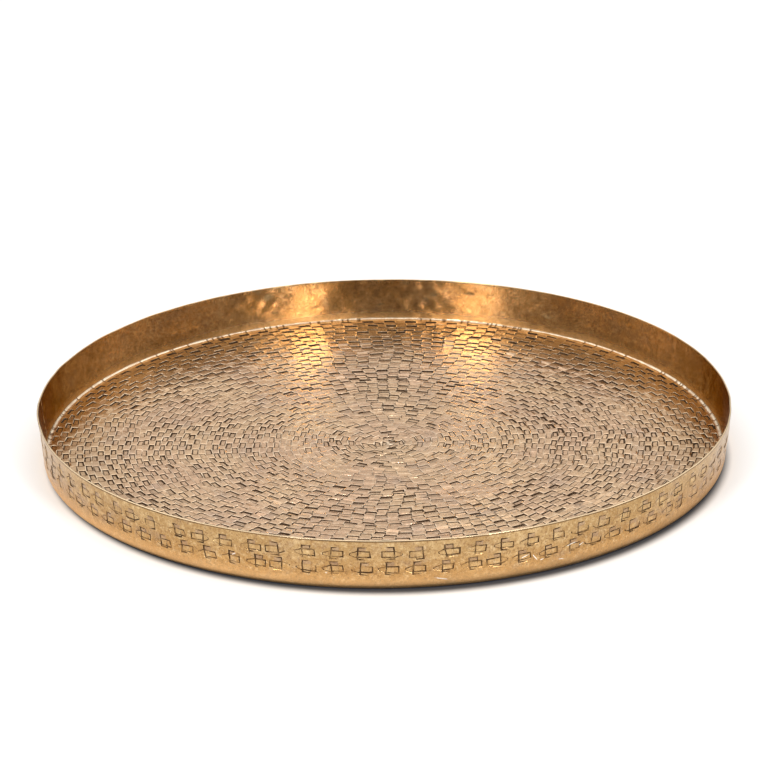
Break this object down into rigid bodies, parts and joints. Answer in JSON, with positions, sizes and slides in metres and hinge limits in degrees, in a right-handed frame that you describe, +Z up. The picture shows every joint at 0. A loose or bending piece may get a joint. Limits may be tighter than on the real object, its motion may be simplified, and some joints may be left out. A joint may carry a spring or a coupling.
{
  "type": "round tray",
  "caption": "Round low-walled brass tray with a punched basket-work floor, crossed punch marks round the wall and a rounded lower edge.",
  "frame": {"origin": "centre of the ring that the tray stands on, on the table", "axes": "+Z up, along the tray's axis; the band's seam is on the -X side"},
  "size_m": [0.4, 0.4, 0.0292],
  "materials": {
    "wall_brass": "satin, aged, punched with crossed marks",
    "seam_braze": "filed flush, dull",
    "floor_brass": "satin, pinkish, with dark patina in the punch marks",
    "fillet_braze": "bright, rubbed"
  },
  "bodies": {
    "root": {"wall_band": "wall_brass", "band_seam": "seam_braze", "floor_disc": "floor_brass", "corner_braze": "fillet_braze"}
  },
  "joints": []
}
